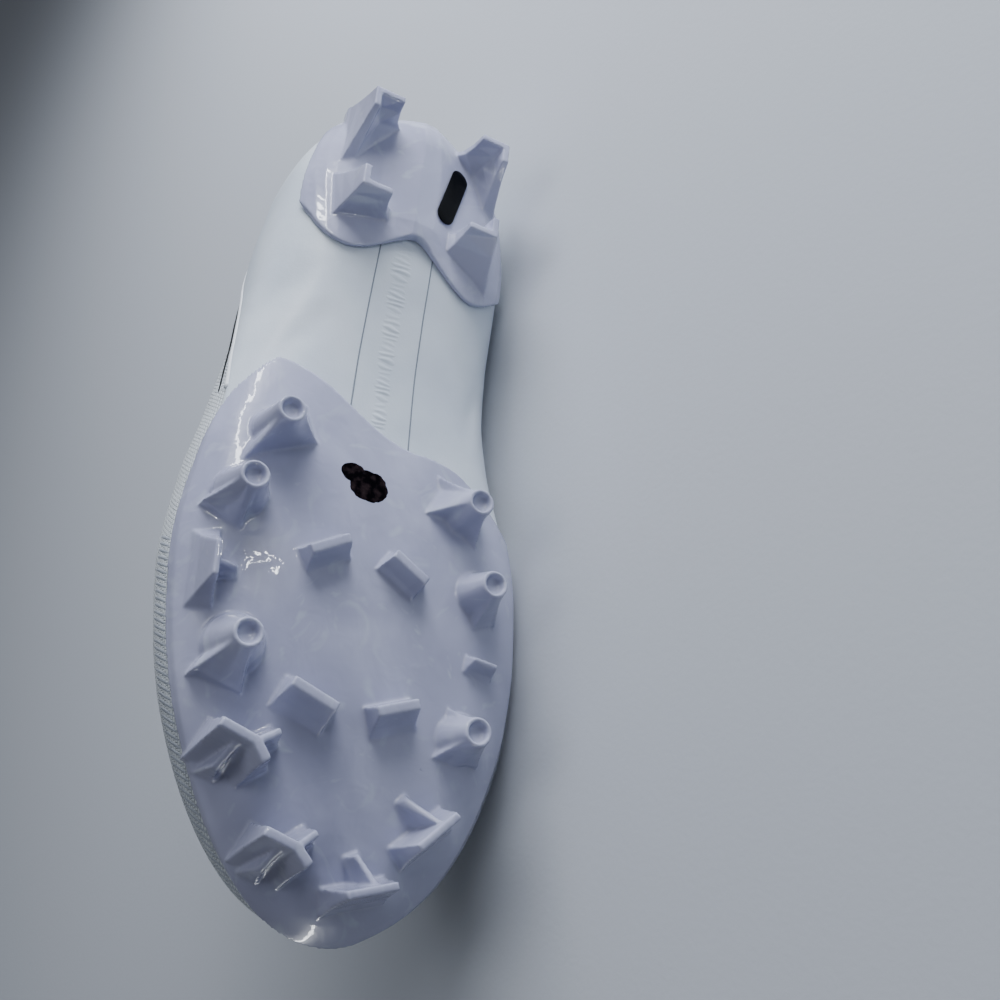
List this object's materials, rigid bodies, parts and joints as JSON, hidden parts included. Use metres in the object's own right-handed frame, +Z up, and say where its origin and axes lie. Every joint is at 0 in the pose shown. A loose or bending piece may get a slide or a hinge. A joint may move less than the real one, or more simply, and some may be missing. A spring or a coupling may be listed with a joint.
{
  "type": "american football cleat",
  "caption": "Left football boot with a studded forefoot plate, a bladed heel plate and a hollow textile upper, lying on its medial side, sole to the front.",
  "frame": {"origin": "On the floor, under the middle of the bounding box of the shoe as it lies on its medial side.", "axes": "+Z is up. +X runs from toe to heel. The sole faces -Y, turned about 13 degrees up; the lateral side is on top."},
  "size_m": [0.2962, 0.1262, 0.1121],
  "materials": {
    "upper_textile": "matte coated knit",
    "outsole": "gloss",
    "inlay": "gloss",
    "liner": "matte",
    "eyestay_film": "satin",
    "lace": "matte woven"
  },
  "bodies": {
    "root": {"upper": "upper_textile", "forefoot_plate": "outsole", "heel_plate": "outsole", "heel_inlay": "inlay", "insole": "liner", "tongue": "upper_textile", "eyestay": "eyestay_film", "lace_bar_1": "lace", "lace_bar_2": "lace", "lace_bar_3": "lace", "lace_bar_4": "lace", "lace_bar_5": "lace", "lace_bar_6": "lace", "lace_bar_7": "lace"}
  },
  "joints": []
}
